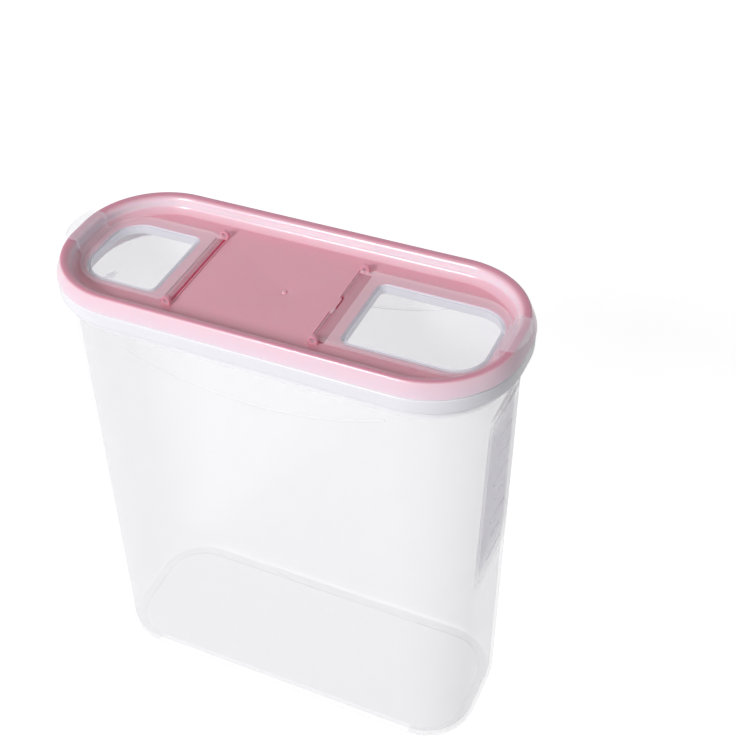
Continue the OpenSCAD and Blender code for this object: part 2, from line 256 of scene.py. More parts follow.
# %% The outline of the wall at a height
base_half_x = 113.5 * MM
base_half_y = 43.6 * MM
base_corner = 30.2 * MM
mouth_half_x = rim_half_x - mouth_inset
mouth_half_y = rim_half_y - mouth_inset
mouth_corner = rim_corner - mouth_inset


def leaning(z, at_base, at_neck):
    """A size of the container at height z; above the neck it stays the same."""
    return at_base + min(z / neck, 1) * (at_neck - at_base)


def end_x(z):
    return leaning(z, base_half_x, mouth_half_x)


def wall_outline(out, z):
    half_x = end_x(z) + out
    half_y = leaning(z, base_half_y, mouth_half_y) + out
    corner = leaning(z, base_corner, mouth_corner) + out
    corners = box_corners(-half_x, half_x, half_y, corner, corner)
    return at_height(rounded(corners, ARC_STEPS), z)


print("end of the base and of the mouth in mm:", base_half_x / MM, round(mouth_half_x / MM, 2))

# %% Sections of the outside and of the inside
heel_in = 2.2 * MM
heel_high = 4.2 * MM
foot_in = heel_in + 6 * MM
floor_top = 2.6 * MM
foot_hollow = 0.8 * MM
lip_out = 2.8 * MM + mouth_inset
lip_in = lip_out - 1.6 * MM
brow = mouth - wall

outside = section([
    (-foot_in - 2 * MM, foot_hollow, 0), (-foot_in, foot_hollow, 0.3 * MM),
    (-foot_in, 0, 0.3 * MM), (-heel_in, 0, 1 * MM),
    (-heel_in / 3, heel_high / 3, 2 * MM), (0, heel_high, 5 * MM),
    (0, brow, 0.5 * MM), (lip_in, brow, 0.4 * MM),
    (lip_in, collar_foot, 0.3 * MM), (lip_out, collar_foot, 0.5 * MM),
    (lip_out, mouth, 1 * MM), (-wall / 2, mouth, 0),
])
inside = section([
    (-wall / 2, mouth, 0), (-wall, mouth, 0.6 * MM),
    (-wall, floor_top + heel_high, 5 * MM),
    (-wall - heel_in / 3, floor_top + heel_high / 3, 2 * MM),
    (-wall - heel_in, floor_top, 1 * MM), (-wall - heel_in - 4 * MM, floor_top, 0),
])
print("rings outside and inside:", len(outside), len(inside))

# %% [markdown]
# ### The end grips
#
# Each end has a flat that fingers close on, with a ledge at its top and a
# long slope that runs out at its foot. Cutting the wall along the flat first
# (bisect) gives clean edges exactly where the flat meets the round wall. Only
# then are the vertices outside the flat pushed back onto it.

# %% The side view of a grip
grip_depth = 2.2 * MM
grip_top = collar_foot - 20.4 * MM
grip_foot = grip_top - 139 * MM
grip_out = grip_foot - 40 * MM
grip_step = grip_top - grip_depth
END_ZONE = 90 * MM


def grip_line(behind):
    """The grip seen from the side as (x, z), for a skin that lies behind the outside."""
    return [
        (end_x(grip_out) + 0.4 * MM - behind, grip_out),
        (end_x(grip_foot) - grip_depth - behind, grip_foot),
        (end_x(grip_step) - grip_depth - behind, grip_step),
        (end_x(grip_top) + 0.4 * MM - behind, grip_top),
    ]


def end_faces(bm, side, low, high):
    """Faces and edges at one end of the container, between two heights."""
    faces = []
    for face in bm.faces:
        middle = face.calc_center_median()
        if middle.x * side > END_ZONE and low < middle.z < high:
            faces.append(face)
    edges = {e for f in faces for e in f.edges}
    verts = {v for f in faces for v in f.verts}
    return faces + list(edges) + list(verts)


def carve_grip(bm, side, behind):
    line = grip_line(behind)
    for _, z in line:
        bmesh.ops.bisect_plane(
            bm, geom=end_faces(bm, side, 5 * MM, brow), dist=1e-7,
            plane_co=(0, 0, z), plane_no=(0, 0, 1),
        )
    for (x0, z0), (x1, z1) in zip(line, line[1:]):
        bmesh.ops.bisect_plane(
            bm, geom=end_faces(bm, side, z0, z1), dist=1e-7,
            plane_co=(side * x0, 0, z0), plane_no=(z1 - z0, 0, side * (x0 - x1)),
        )
    for vert in bm.verts:
        for (x0, z0), (x1, z1) in zip(line, line[1:]):
            if z0 - 1e-7 <= vert.co.z <= z1 + 1e-7:
                limit = x0 + (x1 - x0) * (vert.co.z - z0) / (z1 - z0)
                if vert.co.x * side > limit:
                    vert.co.x = side * limit


print("grip from", round(grip_foot / MM, 1), "to", round(grip_top / MM, 1), "mm")

# %% Build the container's skin
container_bm = bmesh.new()
for profile, behind in ((outside, 0), (inside, wall)):
    half_bm = bmesh.new()
    first, last = skin(half_bm, [wall_outline(p.x, p.y) for p in profile])
    bmesh.ops.contextual_create(half_bm, geom=last if behind else first)
    for side in (1, -1):
        carve_grip(half_bm, side, behind)
    half_mesh = bpy.data.meshes.new("half")
    half_bm.to_mesh(half_mesh)
    half_bm.free()
    container_bm.from_mesh(half_mesh)
    bpy.data.meshes.remove(half_mesh)
container = make_piece("container_body", container_bm, merge=1e-6)
print("container faces:", len(container.data.polygons))

# %% [markdown]
# ### Scale bars and the curved line
#
# The bars of the scale are raised, long and short in turn, on one grip only.
# The curved line on the long faces is a shallow rib: its small section is
# spun about a point high above the container. Both are joined into the wall
# with a boolean, so the plastic stays one solid with no hidden faces.

# %% Raised bars
BAR_COUNT = 7
bar_long = 20 * MM
bar_short = 11 * MM
bar_high = 1.4 * MM
bar_out = 0.5 * MM
bar_root = 0.5 * MM
scale_top = grip_top - 23 * MM
scale_step = 27 * MM

bars_bm = bmesh.new()
for i in range(BAR_COUNT):
    z = scale_top - i * scale_step / 2
    width = bar_long if i % 2 == 0 else bar_short
    face_x = end_x(z) - grip_depth
    place = Matrix.Translation((face_x + (bar_out - bar_root) / 2, 0, z))
    size = Matrix.Diagonal((bar_out + bar_root, width, bar_high, 1))
    cube = bmesh.ops.create_cube(bars_bm, size=1, matrix=place @ size)
    edges = {e for v in cube["verts"] for e in v.link_edges}
    bmesh.ops.bevel(
        bars_bm, geom=list(edges), affect="EDGES", offset=0.22 * MM,
        segments=2, profile=0.5, material=-1, clamp_overlap=True,
    )
bars = make_piece("bars", bars_bm)
combine(container, bars)
print("container faces with the scale:", len(container.data.polygons))

# %% The curved line on both long faces
arc_radius = 180.5 * MM
arc_low = collar_foot - 27.1 * MM
arc_half = 70 * MM
arc_wide = 1.4 * MM
arc_out = 0.4 * MM
face_y = leaning(arc_low, base_half_y, mouth_half_y)
turn = math.asin(arc_half / arc_radius)
centre = Vector((0, 0, arc_low + arc_radius))

lines_bm = bmesh.new()
for side in (1, -1):
    rib = [(-arc_wide / 2, -0.8 * MM, 0), (arc_wide / 2, -0.8 * MM, 0),
           (arc_wide / 2, arc_out, 0.35 * MM), (-arc_wide / 2, arc_out, 0.35 * MM)]
    start = Matrix.Rotation(-turn, 4, "Y")
    verts = []
    for p in rounded(rib, 3):
        spot = Vector((0, side * (face_y + p.y), -arc_radius + p.x))
        verts.append(lines_bm.verts.new(centre + start @ spot))
    face = lines_bm.faces.new(verts)
    bmesh.ops.spin(
        lines_bm, geom=[face, *face.edges, *face.verts], cent=centre, axis=(0, 1, 0),
        angle=2 * turn, steps=56, use_merge=False, use_duplicate=False,
    )
lines = make_piece("lines", lines_bm)
combine(container, lines)
finish_mesh(container)

# %% [markdown]
# ## The lid
#
# The lid is a deep tray. Seen end on, one section runs from the panel up the
# slope and the inner wall, over the rounded rim, down the flared skirt, back up
# under it and down the plug wall with its two flanges. Swept round the rim
# outline it leaves two open edges, at the top and at the underside of the
# panel, and these are filled with faces that leave room for the openings.

# %% Section of the rim, the skirt and the plug wall
slope_top = panel + panel_inset - rim_band
under_line = slope_top + rim_band - lid_wall * math.sqrt(2)
inner_back = -rim_band + lid_wall
plug_out = -5.5 * MM
plug_back = plug_out - 1.6 * MM
flange_out = plug_out + 1 * MM
flange = 1.2 * MM
upper_flange = plug_foot + 7 * MM
panel_edge = -10.2 * MM

rim_section = section([
    (panel_edge, panel, 0), (-panel_inset, panel, 1.2 * MM),
    (-rim_band, slope_top, 2 * MM), (-rim_band, rim_top, 3.2 * MM),
    (0, rim_top, 1.4 * MM), (skirt_flare, skirt_foot, 0.5 * MM),
    (skirt_flare - lid_wall, skirt_foot, 0.4 * MM),
    (-lid_wall, rim_top - lid_wall, 0.6 * MM), (inner_back, rim_top - lid_wall, 0.6 * MM),
    (inner_back, under_line + inner_back, 1 * MM), (plug_out, under_line + plug_out, 0.6 * MM),
    (plug_out, upper_flange + flange, 0.1 * MM), (flange_out, upper_flange + flange, 0.25 * MM),
    (flange_out, upper_flange, 0.25 * MM), (plug_out, upper_flange, 0.1 * MM),
    (plug_out, plug_foot + flange, 0.1 * MM), (flange_out, plug_foot + flange, 0.25 * MM),
    (flange_out, plug_foot, 0.25 * MM), (plug_back, plug_foot, 0.4 * MM),
    (plug_back, panel_under, 0.5 * MM), (panel_edge, panel_under, 0),
])
print("points in the rim section:", len(rim_section))

# %% Openings, troughs and the moulding mark
opening_half = 25 * MM
opening_end = rim_half_x - panel_inset - 3.2 * MM
opening_set = 9.8 * MM
collar_thick = 1.4 * MM
collar_under = panel_under - 3.4 * MM
trough_half = 28.6 * MM
trough_near = 1.5 * MM
trough_far = 4.4 * MM
trough_deep = 0.9 * MM
slot = 0.9 * MM
break_half = 6 * MM

lid_bm = bmesh.new()
top_edges, under_edges = skin(lid_bm, [lid_outline(p.x, p.y) for p in rim_section])


def opening_outline(hinge_x, side, grow, z):
    """The outline of an opening. side is 1 for the large cap and -1 for the small one."""
    corners = box_corners(
        abs(hinge_x) + opening_set - grow, opening_end + grow,
        opening_half + grow, 5 * MM + grow, 16 * MM + grow,
    )
    return at_height([side * p for p in rounded(corners, 10)], z)


opening_section = section([
    (0.5 * MM, panel, 0), (0, panel, 0.5 * MM), (0, collar_under, 0.3 * MM),
    (collar_thick, collar_under, 0.3 * MM), (collar_thick, panel_under, 0.3 * MM),
    (collar_thick + 0.4 * MM, panel_under, 0),
])
for hinge, side in ((large_hinge, 1), (small_hinge, -1)):
    first, last = skin(
        lid_bm, [opening_outline(hinge.x, side, p.x, p.y) for p in opening_section]
    )
    top_edges += first
    under_edges += last
print("edges round the panel and its openings:", len(top_edges), len(under_edges))


# %% Troughs under the hinge barrels
def trough_corners(hinge_x, grow, notched):
    """Plan of a trough; beside the split barrel it widens into two slots."""
    near = abs(hinge_x) - trough_near - grow
    far = abs(hinge_x) + trough_far + grow
    half = trough_half + grow
    soft = 0.35 * MM
    if not notched:
        return box_corners(near, far, half, soft, soft)
    wide = near - slot
    step = break_half - grow
    return [
        (far, -half, soft), (far, half, soft), (wide, half, soft), (wide, step, soft),
        (near, step, soft), (near, -step, soft), (wide, -step, soft), (wide, -half, soft),
    ]


trough_section = section([
    (0.25 * MM, panel, 0), (0, panel, 0.25 * MM),
    (0, panel - trough_deep, 0.2 * MM), (-0.3 * MM, panel - trough_deep, 0),
])
for hinge, side in ((large_hinge, 1), (small_hinge, -1)):
    outlines = []
    for p in trough_section:
        points = rounded(trough_corners(hinge.x, p.x, side == 1), 2)
        outlines.append(at_height([side * q for q in points], p.y))
    first, last = skin(lid_bm, outlines)
    bmesh.ops.contextual_create(lid_bm, geom=last)
    top_edges += first
print("edges with the troughs:", len(top_edges))

# %% The moulding mark in its shallow dish
mark_x = -1.9 * MM
mark_steps = [(4.3, 0), (3.6, -0.08), (2.2, -0.28), (1.3, -0.3),
              (1.15, -0.1), (0.95, 0.35), (0.6, 0.5)]
outlines = []
for radius, rise in mark_steps:
    r = radius * MM
    points = rounded(box_corners(mark_x - r, mark_x + r, r, r * 0.999, r * 0.999), 8)
    outlines.append(at_height(points, panel + rise * MM))
first, last = skin(lid_bm, outlines)
bmesh.ops.contextual_create(lid_bm, geom=last)
top_edges += first
bmesh.ops.triangle_fill(lid_bm, use_beauty=True, use_dissolve=False, edges=top_edges)
bmesh.ops.triangle_fill(lid_bm, use_beauty=True, use_dissolve=False, edges=under_edges)
lid = make_piece("lid_tray", lid_bm, merge=1e-6)
print("lid faces:", len(lid.data.polygons))

# %% [markdown]
# ### Ears and lips
#
# The caps clip into four small ears, each a plate with a round top and a bore,
# extruded from a flat outline. A fine raised lip runs beside each trough and
# stiffens the panel there. Ears and lips are joined into the panel.

# %% Ears with bores
ear_radius = 2.4 * MM
ear_thick = 2.2 * MM
ear_middle = 29.9 * MM
bore = 1.18 * MM
pin = 1.1 * MM


def slab(bm, outline, thick, soft, hole=0):
    """Extrude a flat outline and soften its rims; hole is the radius of a bore at 0, 0."""
    edges = ring(bm, at_height(outline, 0))
    if hole:
        circle = bmesh.ops.create_circle(bm, radius=hole, segments=24)
        edges += list({e for v in circle["verts"] for e in v.link_edges})
    filled = bmesh.ops.triangle_fill(bm, use_beauty=True, use_dissolve=not hole, edges=edges)
    faces = [g for g in filled["geom"] if isinstance(g, bmesh.types.BMFace)]
    raised = bmesh.ops.extrude_face_region(bm, geom=faces, use_keep_orig=True)
    verts = [g for g in raised["geom"] if isinstance(g, bmesh.types.BMVert)]
    bmesh.ops.translate(bm, verts=verts, vec=(0, 0, thick))
    bmesh.ops.recalc_face_normals(bm, faces=bm.faces[:])
    if soft:
        rims = [e for e in bm.edges if len(e.link_faces) == 2 and e.calc_face_angle(0) > 1]
        bmesh.ops.bevel(
            bm, geom=rims, affect="EDGES", offset=soft, segments=2, profile=0.5,
            material=-1, clamp_overlap=True,
        )


ear_foot = panel - 0.5 * MM - large_hinge.z
ear_outline = rounded([
    (-ear_radius, ear_foot, 0), (ear_radius, ear_foot, 0),
    (ear_radius, ear_radius, ear_radius * 0.999), (-ear_radius, ear_radius, ear_radius * 0.999),
], 8)
for hinge in (large_hinge, small_hinge):
    for side in (1, -1):
        ear_bm = bmesh.new()
        slab(ear_bm, ear_outline, ear_thick, 0.25 * MM, bore)
        place = Matrix.Translation((hinge.x, side * ear_middle + ear_thick / 2, hinge.z))
        bmesh.ops.transform(
            ear_bm, matrix=place @ Matrix.Rotation(math.pi / 2, 4, "X"), verts=ear_bm.verts[:]
        )
        combine(lid, make_piece("ear", ear_bm))
print("lid faces with ears:", len(lid.data.polygons))

# %% Lips beside the troughs
lip_wide = 0.6 * MM
lip_rise = 0.6 * MM
lip_root = 0.4 * MM
lip_gap = 0.35 * MM
beside_slot = large_hinge.x - trough_near - slot - lip_wide / 2 - lip_gap
lip_runs = [
    (beside_slot, break_half, ear_middle), (beside_slot, -ear_middle, -break_half),
    (small_hinge.x + trough_near + lip_wide / 2 + lip_gap, -ear_middle, ear_middle),
]
lips_bm = bmesh.new()
for x, y0, y1 in lip_runs:
    place = Matrix.Translation((x, (y0 + y1) / 2, panel + (lip_rise - lip_root) / 2))
    size = Matrix.Diagonal((lip_wide, y1 - y0, lip_rise + lip_root, 1))
    bmesh.ops.create_cube(lips_bm, size=1, matrix=place @ size)
top = [e for e in lips_bm.edges if all(v.co.z > panel for v in e.verts)]
bmesh.ops.bevel(
    lips_bm, geom=top, affect="EDGES", offset=0.2 * MM, segments=2, profile=0.5,
    material=-1, clamp_overlap=True,
)
combine(lid, make_piece("lips", lips_bm))
finish_mesh(lid)

# %% [markdown]
# ## The seal
#
# A silicone ring sits in the groove between the two flanges of the plug and
# seals against the wall of the container. It is a small closed section with
# two lips, swept round the same outline as the lid.

# %% The silicone ring
seal_in = plug_out + 0.15 * MM
seal_foot = plug_foot + flange + 0.3 * MM
seal_tall = upper_flange - plug_foot - flange - 0.6 * MM
band = seal_in + 0.6 * MM
lip = band + 0.4 * MM
fifth = seal_tall / 5
seal_section = rounded([
    (seal_in, seal_foot, 0.1 * MM), (band, seal_foot, 0.15 * MM),
    (band, seal_foot + fifth, 0.1 * MM), (lip, seal_foot + fifth * 1.2, 0.2 * MM),
    (lip, seal_foot + 2 * fifth, 0.2 * MM), (band, seal_foot + 2 * fifth, 0.1 * MM),
    (band, seal_foot + 3 * fifth, 0.1 * MM), (lip, seal_foot + fifth * 3.2, 0.2 * MM),
    (lip, seal_foot + 4 * fifth, 0.2 * MM), (band, seal_foot + 4 * fifth, 0.1 * MM),
    (band, seal_foot + seal_tall, 0.15 * MM), (seal_in, seal_foot + seal_tall, 0.1 * MM),
], 3)
seal_bm = bmesh.new()
skin(seal_bm, [lid_outline(p.x, p.y) for p in seal_section], closed=True)
seal = make_piece("seal_ring", seal_bm)
finish_mesh(seal, 60)

# %% [markdown]
# ## The flip caps
#
# Both caps are the same design in two lengths, so one function makes them.
# The plate has a thin bead on its three free sides, a plug wall underneath
# that drops into the opening, a barrel with stub pins along the hinge, and a
# finger tab that climbs the slope and reaches over the rim. Each part is a
# closed solid, and booleans make one clear moulding of them.

# %% Sizes of a cap
cap_foot = panel + 0.3 * MM
cap_thick = 1.6 * MM
cap_half = 29.3 * MM
cap_end = rim_half_x - panel_inset - 0.6 * MM
cap_corner = 20 * MM
bead_rise = 0.5 * MM
bead_wide = 1.1 * MM
stopper = 4.8 * MM
stopper_wall = 1.3 * MM
stopper_gap = 0.6 * MM
barrel = 1.3 * MM
neck_half = ear_middle - ear_thick / 2 - 0.3 * MM
tab_half = 12.75 * MM
tab_out = rim_half_x + 3 * MM
tab_low = rim_top + 0.4 * MM
tab_thick = 1.5 * MM
tab_round = 26.5 * MM
print("cap plate ends at", round(cap_end / MM, 2), "mm, tab at", round(tab_out / MM, 2), "mm")


# %% Parts of a cap
def plate_part(hinge_x):
    """The plate, narrow beside the ears and full width past them."""
    shoulder = hinge_x + 4.2 * MM
    root = hinge_x + 0.4 * MM

    def corners(inward):
        return [
            (root, -neck_half + inward, 0), (shoulder, -neck_half + inward, 0),
            (shoulder + inward, -cap_half + inward, 0.8 * MM),
            (cap_end - inward, -cap_half + inward, cap_corner - inward),
            (cap_end - inward, cap_half - inward, cap_corner - inward),
            (shoulder + inward, cap_half - inward, 0.8 * MM),
            (shoulder, neck_half - inward, 0), (root, neck_half - inward, 0),
        ]

    bm = bmesh.new()
    soft = 0.3 * MM
    steps = [(soft, 0), (0, soft), (0, cap_thick - soft / 2), (soft / 2, cap_thick)]
    outlines = [at_height(rounded(corners(i), 14), cap_foot + rise) for i, rise in steps]
    for end in skin(bm, outlines):
        bmesh.ops.contextual_create(bm, geom=end)
    return make_piece("plate", bm)


def bead_part(hinge_x):
    """The thin bead round the three free sides."""
    root = hinge_x + 4.6 * MM

    def corners(soft):
        outer, inner = soft, bead_wide - soft
        return [
            (root + soft, -cap_half + outer, 0), (cap_end - outer, -cap_half + outer, cap_corner - outer),
            (cap_end - outer, cap_half - outer, cap_corner - outer), (root + soft, cap_half - outer, 0),
            (root + soft, cap_half - inner, 0), (cap_end - inner, cap_half - inner, cap_corner - inner),
            (cap_end - inner, -cap_half + inner, cap_corner - inner), (root + soft, -cap_half + inner, 0),
        ]

    bm = bmesh.new()
    top = cap_foot + cap_thick + bead_rise
    steps = [(0, top - bead_rise - 0.5 * MM), (0, top - 0.25 * MM), (0.08 * MM, top - 0.08 * MM),
             (0.25 * MM, top)]
    outlines = [at_height(rounded(corners(soft), 14), z) for soft, z in steps]
    for end in skin(bm, outlines):
        bmesh.ops.contextual_create(bm, geom=end)
    return make_piece("bead", bm)


def stopper_part(hinge_x):
    """The plug wall under the plate."""
    bm = bmesh.new()
    low = cap_foot - stopper
    high = cap_foot + 0.4 * MM
    outer, inner = -stopper_gap, -stopper_gap - stopper_wall
    path = rounded([(outer, low, 0.4 * MM), (outer, high, 0), (inner, high, 0),
                    (inner, low, 0.4 * MM)], 3)
    skin(bm, [opening_outline(hinge_x, 1, p.x, p.y) for p in path], closed=True)
    return make_piece("stopper", bm)


def barrel_parts(hinge_x, split):
    """The barrel along the hinge, in two lengths beside a break, and the stub pins."""
    parts = []
    spans = [(-neck_half, -split), (split, neck_half)] if split else [(-neck_half, neck_half)]
    reach = ear_middle + ear_thick / 2
    pins = [(-reach, -neck_half + 0.5 * MM), (neck_half - 0.5 * MM, reach)]
    for (y0, y1), radius in [(s, barrel) for s in spans] + [(s, pin) for s in pins]:
        bm = bmesh.new()
        place = Matrix.Translation((hinge_x, (y0 + y1) / 2, large_hinge.z))
        bmesh.ops.create_cone(
            bm, cap_ends=True, segments=32, radius1=radius, radius2=radius, depth=y1 - y0,
            matrix=place @ Matrix.Rotation(math.pi / 2, 4, "X"),
        )
        rims = [e for e in bm.edges if abs(e.verts[0].co.y - e.verts[1].co.y) < 1e-6]
        bmesh.ops.bevel(
            bm, geom=rims, affect="EDGES", offset=0.15 * MM, segments=2, profile=0.5,
            material=-1, clamp_overlap=True,
        )
        parts.append(make_piece("barrel", bm))
    return parts


def tab_part():
    """The finger tab: an end view extruded across the cap, cut to a rounded tip."""
    foot_x = cap_end - 0.6 * MM
    climb_x = rim_half_x - rim_band - 1.6 * MM
    climb_z = panel + panel_inset - rim_band - 0.1 * MM
    side = rounded([
        (foot_x - 2 * tab_thick, cap_foot, 0), (foot_x, cap_foot, 0.3 * MM),
        (climb_x, climb_z, 1.2 * MM), (climb_x, tab_low, 0.5 * MM),
        (tab_out, tab_low, 0.4 * MM), (tab_out, tab_low + tab_thick, 0.5 * MM),
        (climb_x - tab_thick, tab_low + tab_thick, 1.6 * MM),
        (climb_x - tab_thick, climb_z + 1 * MM, 0.8 * MM),
        (foot_x - tab_thick, cap_foot + cap_thick, 1 * MM),
        (foot_x - 2 * tab_thick, cap_foot + cap_thick, 0),
    ], 4)
    bm = bmesh.new()
    slab(bm, side, 2 * tab_half, 0.35 * MM)
    place = Matrix.Translation((0, tab_half, 0)) @ Matrix.Rotation(math.pi / 2, 4, "X")
    bmesh.ops.transform(bm, matrix=place, verts=bm.verts[:])
    tab = make_piece("tab", bm)
    tip_bm = bmesh.new()
    bmesh.ops.create_cone(
        tip_bm, cap_ends=True, segments=160, radius1=tab_round, radius2=tab_round,
        depth=40 * MM, matrix=Matrix.Translation((tab_out - tab_round, 0, rim_top)),
    )
    combine(tab, make_piece("tip", tip_bm), "INTERSECT")
    return tab


def flip_cap(name, hinge_x, split, turned):
    cap = plate_part(hinge_x)
    parts = [bead_part(hinge_x), stopper_part(hinge_x), tab_part()]
    for part in parts + barrel_parts(hinge_x, split):
        combine(cap, part)
    cap.name = name
    if turned:
        cap.data.transform(Matrix.Rotation(math.pi, 4, "Z"))
    finish_mesh(cap)
    return cap


# %% Build both caps
large_cap = flip_cap("large_flip_cap", large_hinge.x, break_half, False)
small_cap = flip_cap("small_flip_cap", -small_hinge.x, 0, True)

# %% [markdown]
# ## Finishes
#
# All four materials share the same fine skin: a moulded surface is never
# perfectly even, so a very low bump and a slight change of gloss break up the
# reflections. That skin is one node group, placed in each material with its
# own values. Three more groups give the pink of the lid with its painted light
# and shade, the frosting of the container with a painted shade on the grip and
# painted light on faces that look up, and the milky plugs of the caps.


# %% Node group: moulded skin
def new_group(name, inputs, outputs):
    group = bpy.data.node_groups.new(name, "ShaderNodeTree")
    for label, kind, value in inputs:
        socket = group.interface.new_socket(label, in_out="INPUT", socket_type=kind)
        if value is not None:
            socket.default_value = value
    for label, kind in outputs:
        group.interface.new_socket(label, in_out="OUTPUT", socket_type=kind)
    return group, group.nodes.new("NodeGroupInput"), group.nodes.new("NodeGroupOutput")


def link(tree, source, target):
    tree.links.new(source, target)


skin_group, gin, gout = new_group(
    "moulded_skin",
    [("Scale", "NodeSocketFloat", 300.0), ("Gloss", "NodeSocketFloat", 0.2),
     ("Spread", "NodeSocketFloat", 0.05)],
    [("Roughness", "NodeSocketFloat"), ("Height", "NodeSocketFloat")],
)
place = skin_group.nodes.new("ShaderNodeTexCoord")
fine = skin_group.nodes.new("ShaderNodeTexNoise")
broad = skin_group.nodes.new("ShaderNodeTexNoise")
fine.inputs["Detail"].default_value = 3
broad.inputs["Scale"].default_value = 22
broad.inputs["Detail"].default_value = 2
link(skin_group, place.outputs["Object"], fine.inputs["Vector"])
link(skin_group, place.outputs["Object"], broad.inputs["Vector"])
link(skin_group, gin.outputs["Scale"], fine.inputs["Scale"])
spread = skin_group.nodes.new("ShaderNodeMath")
spread.operation = "MULTIPLY_ADD"
centred = skin_group.nodes.new("ShaderNodeMath")
centred.operation = "SUBTRACT"
centred.inputs[1].default_value = 0.5
link(skin_group, broad.outputs["Fac"], centred.inputs[0])
link(skin_group, centred.outputs[0], spread.inputs[0])
link(skin_group, gin.outputs["Spread"], spread.inputs[1])
link(skin_group, gin.outputs["Gloss"], spread.inputs[2])
link(skin_group, spread.outputs[0], gout.inputs["Roughness"])
link(skin_group, fine.outputs["Fac"], gout.inputs["Height"])
print("group", skin_group.name, "has", len(skin_group.nodes), "nodes")


# %% Helper: a plastic with the moulded skin
def plastic(name, scale, gloss, spread_by, bump, bump_depth):
    """A Principled material whose roughness and bump come from the moulded skin."""
    material = bpy.data.materials.new(name)
    material.use_nodes = True
    tree = material.node_tree
    shader = tree.nodes["Principled BSDF"]
    skin_node = tree.nodes.new("ShaderNodeGroup")
    skin_node.node_tree = skin_group
    skin_node.inputs["Scale"].default_value = scale
    skin_node.inputs["Gloss"].default_value = gloss
    skin_node.inputs["Spread"].default_value = spread_by
    bump_node = tree.nodes.new("ShaderNodeBump")
    bump_node.inputs["Strength"].default_value = bump
    bump_node.inputs["Distance"].default_value = bump_depth
    link(tree, skin_node.outputs["Height"], bump_node.inputs["Height"])
    link(tree, skin_node.outputs["Roughness"], shader.inputs["Roughness"])
    link(tree, bump_node.outputs["Normal"], shader.inputs["Normal"])
    return material, tree, shader


def linear(red, green, blue):
    """A colour given in the 0 to 255 steps of a screen, as linear light."""
    return [((c / 255 + 0.055) / 1.055) ** 2.4 if c > 10 else c / 3294.6 for c in (red, green, blue)] + [1]


print("mid pink as linear light:", [round(c, 3) for c in linear(209, 150, 165)])

# %% [markdown]
# The lid is one pink all through, but light and shade are painted into that
# pink here. Thin upright walls let light through, so they are painted pale as
# painted light; the flat panel is a mid pink; the rim top is painted a deeper
# pink as painted shade; and the troughs get the deepest painted shade. So one
# group blends colours by height above the panel and by how much the surface
# faces up. The ears and lips stand on thick plastic and take the panel's pink
# instead of the pale wall paint, so a mask marks the middle of the lid, where
# they are.


# %% Node group: the lid's pink with painted light and shade
def colour_ramp(tree, stops, low, high):
    """A colour ramp over heights from low to high; stops are (height, colour)."""
    ramp = tree.nodes.new("ShaderNodeValToRGB")
    elements = ramp.color_ramp.elements
    elements.remove(elements[0])
    for i, (z, colour) in enumerate(stops):
        spot = (z - low) / (high - low)
        stop = elements[0] if i == 0 else elements.new(spot)
        stop.position = spot
        stop.color = linear(*colour)
    return ramp


def mapped(tree, source, low, high):
    """The source, brought from low..high to 0..1."""
    node = tree.nodes.new("ShaderNodeMapRange")
    node.inputs["From Min"].default_value = low
    node.inputs["From Max"].default_value = high
    link(tree, source, node.inputs["Value"])
    return node.outputs["Result"]


def times(tree, first, second):
    node = tree.nodes.new("ShaderNodeMath")
    node.operation = "MULTIPLY"
    link(tree, first, node.inputs[0])
    link(tree, second, node.inputs[1])
    return node.outputs[0]


def between(tree, mask, first, second):
    """A value that goes from first to second with the mask; each may be a socket."""
    node = tree.nodes.new("ShaderNodeMix")
    link(tree, mask, node.inputs["Factor"])
    for i, source in ((2, first), (3, second)):
        link(tree, source, node.inputs[i])
    return node.outputs[0]


lid_painted_light_group, gin, gout = new_group(
    "pink_with_painted_light", [], [("Color", "NodeSocketColor")]
)
coords = lid_painted_light_group.nodes.new("ShaderNodeTexCoord")
axes = lid_painted_light_group.nodes.new("ShaderNodeSeparateXYZ")
facing = lid_painted_light_group.nodes.new("ShaderNodeSeparateXYZ")
link(lid_painted_light_group, coords.outputs["Object"], axes.inputs["Vector"])
link(lid_painted_light_group, coords.outputs["Normal"], facing.inputs["Vector"])
tilt = mapped(lid_painted_light_group, facing.outputs["Z"], 0, 1)
# Painted light: upright walls are painted pale and leaning ones pinker, by how much they face up.
tilt_painted_light = colour_ramp(lid_painted_light_group, [
    (0.0, (252, 230, 236)), (0.3, (250, 215, 228)), (0.55, (243, 200, 212)),
    (0.7, (234, 182, 196)), (0.85, (228, 168, 184)), (0.97, (222, 162, 176)),
], 0, 1)
link(lid_painted_light_group, tilt, tilt_painted_light.inputs["Fac"])
height = mapped(lid_painted_light_group, axes.outputs["Z"], panel - 1 * MM, rim_top + 0.5 * MM)
# Painted shade: the flats darken from the panel's mid pink to a deeper pink on the rim top.
flats_with_painted_shade = colour_ramp(lid_painted_light_group, [
    (panel, (232, 166, 182)), (panel + 1 * MM, (230, 164, 180)),
    (rim_top - 2 * MM, (212, 140, 163)), (rim_top, (212, 140, 163)),
], panel - 1 * MM, rim_top + 0.5 * MM)
link(lid_painted_light_group, height, flats_with_painted_shade.inputs["Fac"])
up = mapped(lid_painted_light_group, facing.outputs["Z"], 0.8, 0.98)
across = lid_painted_light_group.nodes.new("ShaderNodeMath")
across.operation = "ABSOLUTE"
link(lid_painted_light_group, axes.outputs["Y"], across.inputs[0])
middle_mask = mapped(lid_painted_light_group, across.outputs[0], ear_middle + 4 * MM, ear_middle + 3 * MM)
for low, high in ((small_hinge.x - 8 * MM, small_hinge.x - 7 * MM),
                  (large_hinge.x + 8 * MM, large_hinge.x + 7 * MM)):
    inward = mapped(lid_painted_light_group, axes.outputs["X"], low, high)
    middle_mask = times(lid_painted_light_group, middle_mask, inward)
